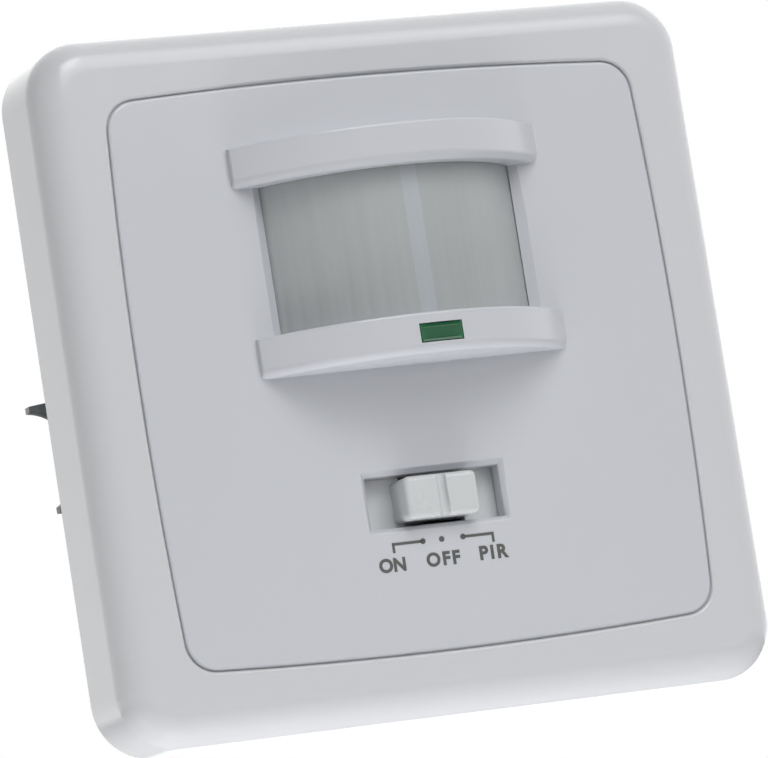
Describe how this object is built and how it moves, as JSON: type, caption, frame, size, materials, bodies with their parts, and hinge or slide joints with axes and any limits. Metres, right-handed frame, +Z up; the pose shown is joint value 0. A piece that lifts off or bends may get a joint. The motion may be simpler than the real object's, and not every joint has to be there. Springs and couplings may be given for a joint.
{
  "type": "motion sensor light switch",
  "caption": "Square flush wall switch with a curved motion sensor window, an indicator lamp, a slide selector, spreader claws and screw terminals.",
  "frame": {"origin": "centre of the square face in the wall's plane, midway between the two box screw slots", "axes": "+X to the right as seen from the room, +Y into the wall, +Z up; the front faces -Y"},
  "size_m": [0.08, 0.0586, 0.08],
  "materials": {
    "frame_plastic": "moulded, glossy white",
    "cover_plastic": "moulded, satin white",
    "lens_plastic": "milky translucent polyethylene",
    "inner_plastic": "natural white plastic",
    "knob_plastic": "glossy white",
    "screw_steel": "bright zinc plated",
    "sheet_steel": "zinc plated sheet",
    "claw_steel": "dark passivated steel",
    "lamp_green": "green tinted epoxy",
    "board_laminate": "green solder mask",
    "can_metal": "drawn nickel plated can",
    "window_glass": "dark infrared filter",
    "sensor_ceramic": "coated ceramic",
    "black_plastic": "black moulding",
    "trimmer_blue": "blue moulding",
    "resistor_coat": "lacquered body",
    "relay_plastic": "blue relay case",
    "film_plastic": "yellow box",
    "can_sleeve": "shrink sleeve",
    "varistor_coat": "epoxy coating",
    "fuse_body": "moulded fuse",
    "terminal_grey": "grey polyamide",
    "brass": "nickel free brass",
    "tin_plate": "tinned leads"
  },
  "bodies": {
    "body": {"outer_frame": "frame_plastic", "front_cover": "cover_plastic", "fresnel_lens": "lens_plastic", "lens_retainer": "inner_plastic", "retainer_screws": "screw_steel", "slide_switch_case": "sheet_steel", "slide_switch_base": "black_plastic", "indicator_led": "lamp_green", "led_spacer": "black_plastic", "sensor_board": "board_laminate", "pir_sensor": "can_metal", "pir_window": "window_glass", "light_sensor": "sensor_ceramic", "trimmer_body_time": "trimmer_blue", "trimmer_body_light": "trimmer_blue", "signal_transistors": "black_plastic", "sensor_resistors": "resistor_coat", "control_ic": "black_plastic", "board_screws": "screw_steel", "link_strip": "black_plastic", "link_pins": "tin_plate", "power_board": "board_laminate", "relay": "relay_plastic", "film_capacitor": "film_plastic", "smoothing_capacitors": "can_sleeve", "varistor": "varistor_coat", "rectifier_diodes": "black_plastic", "line_fuse": "fuse_body", "terminal_block": "terminal_grey", "contact_bars": "brass", "base_housing": "inner_plastic", "rear_cover": "inner_plastic", "rear_screws": "screw_steel", "support_ring": "sheet_steel", "ring_screws": "screw_steel"},
    "slider": {"slider_knob": "knob_plastic", "slide_switch_carriage": "black_plastic"},
    "time_rotor": {"trimmer_rotor_time": "inner_plastic"},
    "light_rotor": {"trimmer_rotor_light": "inner_plastic"},
    "left_claw_screw": {"claw_screw_left": "screw_steel"},
    "left_claw_nut": {"claw_nut_left": "claw_steel"},
    "left_claw": {"claw_left": "claw_steel"},
    "right_claw_screw": {"claw_screw_right": "screw_steel"},
    "right_claw_nut": {"claw_nut_right": "claw_steel"},
    "right_claw": {"claw_right": "claw_steel"},
    "left_clamp_screw": {"terminal_screw_left": "screw_steel"},
    "left_cage": {"terminal_cage_left": "brass"},
    "middle_clamp_screw": {"terminal_screw_middle": "screw_steel"},
    "middle_cage": {"terminal_cage_middle": "brass"},
    "right_clamp_screw": {"terminal_screw_right": "screw_steel"},
    "right_cage": {"terminal_cage_right": "brass"}
  },
  "joints": [
    {"name": "slider_slide", "type": "slide", "parent": "body", "child": "slider", "axis": [1, 0, 0], "range_m": [-0.00246, 0.00246]},
    {"name": "time_rotor_turn", "type": "hinge", "parent": "body", "child": "time_rotor", "pos_m": [-0.01123, 0, -0.0097], "axis": [0, 1, 0], "range_deg": [-135, 135]},
    {"name": "light_rotor_turn", "type": "hinge", "parent": "body", "child": "light_rotor", "pos_m": [0.01123, 0, -0.0097], "axis": [0, 1, 0], "range_deg": [-135, 135]},
    {"name": "left_claw_screw_turn", "type": "hinge", "parent": "body", "child": "left_claw_screw", "pos_m": [-0.0236, 0, -0.0031], "axis": [0, 1, 0], "range_deg": [-1800, 0]},
    {"name": "left_claw_nut_slide", "type": "slide", "parent": "body", "child": "left_claw_nut", "axis": [0, 1, 0], "range_m": [0, 0.003]},
    {"name": "left_claw_swing", "type": "hinge", "parent": "body", "child": "left_claw", "pos_m": [-0.0194, 0.0018, -0.0031], "axis": [0, 0, 1], "range_deg": [-20, 0]},
    {"name": "right_claw_screw_turn", "type": "hinge", "parent": "body", "child": "right_claw_screw", "pos_m": [0.0236, 0, 0.0031], "axis": [0, 1, 0], "range_deg": [-1800, 0]},
    {"name": "right_claw_nut_slide", "type": "slide", "parent": "body", "child": "right_claw_nut", "axis": [0, 1, 0], "range_m": [0, 0.003]},
    {"name": "right_claw_swing", "type": "hinge", "parent": "body", "child": "right_claw", "pos_m": [0.0194, 0.0018, 0.0031], "axis": [0, 0, -1], "range_deg": [-20, 0]},
    {"name": "left_clamp_screw_turn", "type": "hinge", "parent": "body", "child": "left_clamp_screw", "pos_m": [-0.00762, 0.034, 0], "axis": [0, -1, 0], "range_deg": [0, 1440]},
    {"name": "left_cage_slide", "type": "slide", "parent": "body", "child": "left_cage", "axis": [0, 1, 0], "range_m": [0, 0.002]},
    {"name": "middle_clamp_screw_turn", "type": "hinge", "parent": "body", "child": "middle_clamp_screw", "pos_m": [0, 0.034, 0], "axis": [0, -1, 0], "range_deg": [0, 1440]},
    {"name": "middle_cage_slide", "type": "slide", "parent": "body", "child": "middle_cage", "axis": [0, 1, 0], "range_m": [0, 0.002]},
    {"name": "right_clamp_screw_turn", "type": "hinge", "parent": "body", "child": "right_clamp_screw", "pos_m": [0.00762, 0.034, 0], "axis": [0, -1, 0], "range_deg": [0, 1440]},
    {"name": "right_cage_slide", "type": "slide", "parent": "body", "child": "right_cage", "axis": [0, 1, 0], "range_m": [0, 0.002]}
  ],
  "couplings": [
    {"joint": "left_claw_screw_turn", "follows": "left_claw_nut_slide", "rad_per_m": -10472},
    {"joint": "left_claw_swing", "follows": "left_claw_nut_slide", "rad_per_m": -116.36},
    {"joint": "right_claw_screw_turn", "follows": "right_claw_nut_slide", "rad_per_m": -10472},
    {"joint": "right_claw_swing", "follows": "right_claw_nut_slide", "rad_per_m": -116.36},
    {"joint": "left_clamp_screw_turn", "follows": "left_cage_slide", "rad_per_m": 12566},
    {"joint": "middle_clamp_screw_turn", "follows": "middle_cage_slide", "rad_per_m": 12566},
    {"joint": "right_clamp_screw_turn", "follows": "right_cage_slide", "rad_per_m": 12566}
  ]
}
